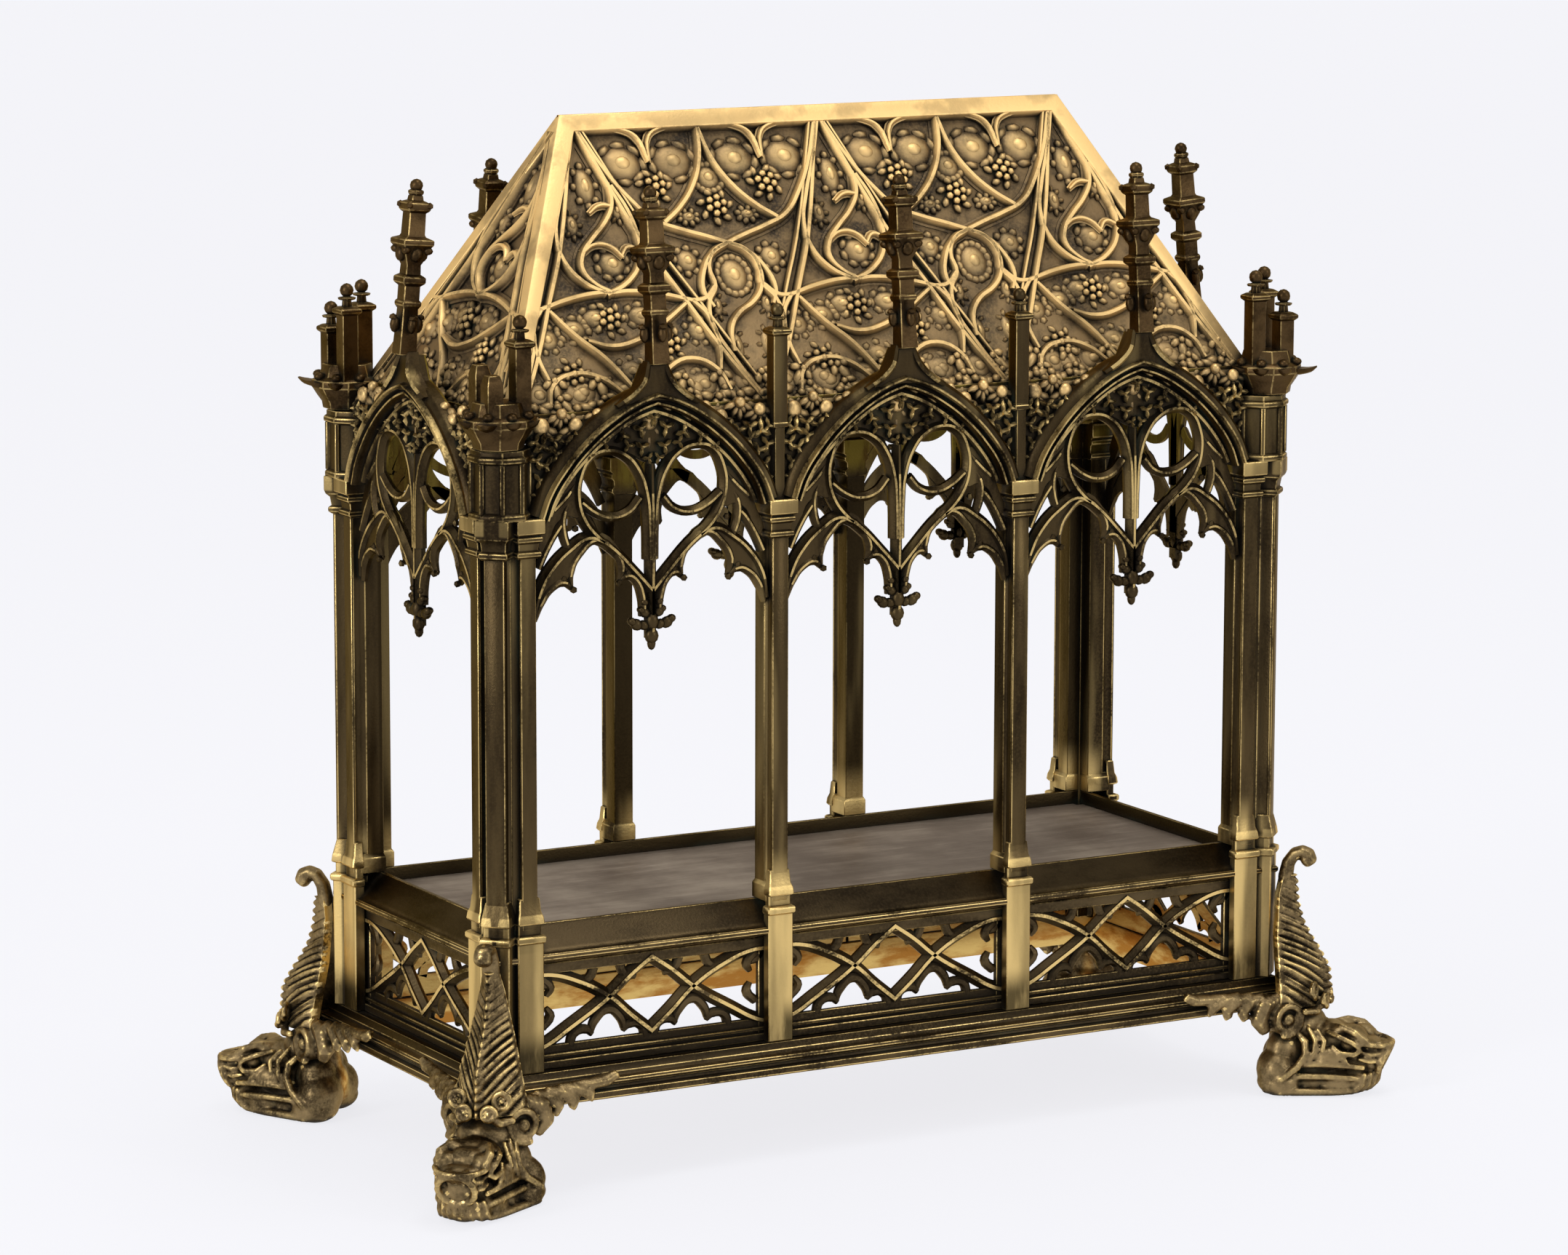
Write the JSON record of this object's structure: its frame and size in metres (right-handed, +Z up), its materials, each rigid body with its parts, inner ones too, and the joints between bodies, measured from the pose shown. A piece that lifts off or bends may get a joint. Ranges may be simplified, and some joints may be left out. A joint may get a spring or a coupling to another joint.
{
  "type": "reliquary casket",
  "caption": "Gothic-revival reliquary casket in cast brass: open pointed arches with tracery, a hipped roof carved in relief, tall finials and grotesque animal feet.",
  "frame": {"origin": "on the table, under the middle of the casket", "axes": "+X along the long front, to the right seen from the front; -Y is the front; +Z up"},
  "size_m": [0.321, 0.164, 0.2986],
  "materials": {
    "arcade": "dark olive-brown patina, worn bright on the edges",
    "predella": "brown patina with bright mouldings, raw gold inside",
    "roof": "gilt ribs over grey-brown fields",
    "pinnacles": "dark reddish-brown patina",
    "floor": "matt grey-brown, scuffed",
    "feet": "brown-gold with dark recesses"
  },
  "bodies": {
    "root": {"plinth": "predella", "sill": "predella", "floor_plate": "floor", "roof": "roof", "lattice_front_1": "predella", "arch_front_1": "arcade", "finial_front_1": "pinnacles", "lattice_front_2": "predella", "arch_front_2": "arcade", "finial_front_2": "pinnacles", "lattice_front_3": "predella", "arch_front_3": "arcade", "finial_front_3": "pinnacles", "lattice_right": "predella", "arch_right": "arcade", "finial_right": "pinnacles", "lattice_back_1": "predella", "arch_back_1": "arcade", "finial_back_1": "pinnacles", "lattice_back_2": "predella", "arch_back_2": "arcade", "finial_back_2": "pinnacles", "lattice_back_3": "predella", "arch_back_3": "arcade", "finial_back_3": "pinnacles", "lattice_left": "predella", "arch_left": "arcade", "finial_left": "pinnacles", "pier_front_1": "arcade", "pier_front_2": "arcade", "pier_back_1": "arcade", "pier_back_2": "arcade", "corner_pier_front_right": "arcade", "corner_crown_front_right": "pinnacles", "foot_front_right": "feet", "corner_pier_front_left": "arcade", "corner_crown_front_left": "pinnacles", "foot_front_left": "feet", "corner_pier_back_left": "arcade", "corner_crown_back_left": "pinnacles", "foot_back_left": "feet", "corner_pier_back_right": "arcade", "corner_crown_back_right": "pinnacles", "foot_back_right": "feet"}
  },
  "joints": []
}
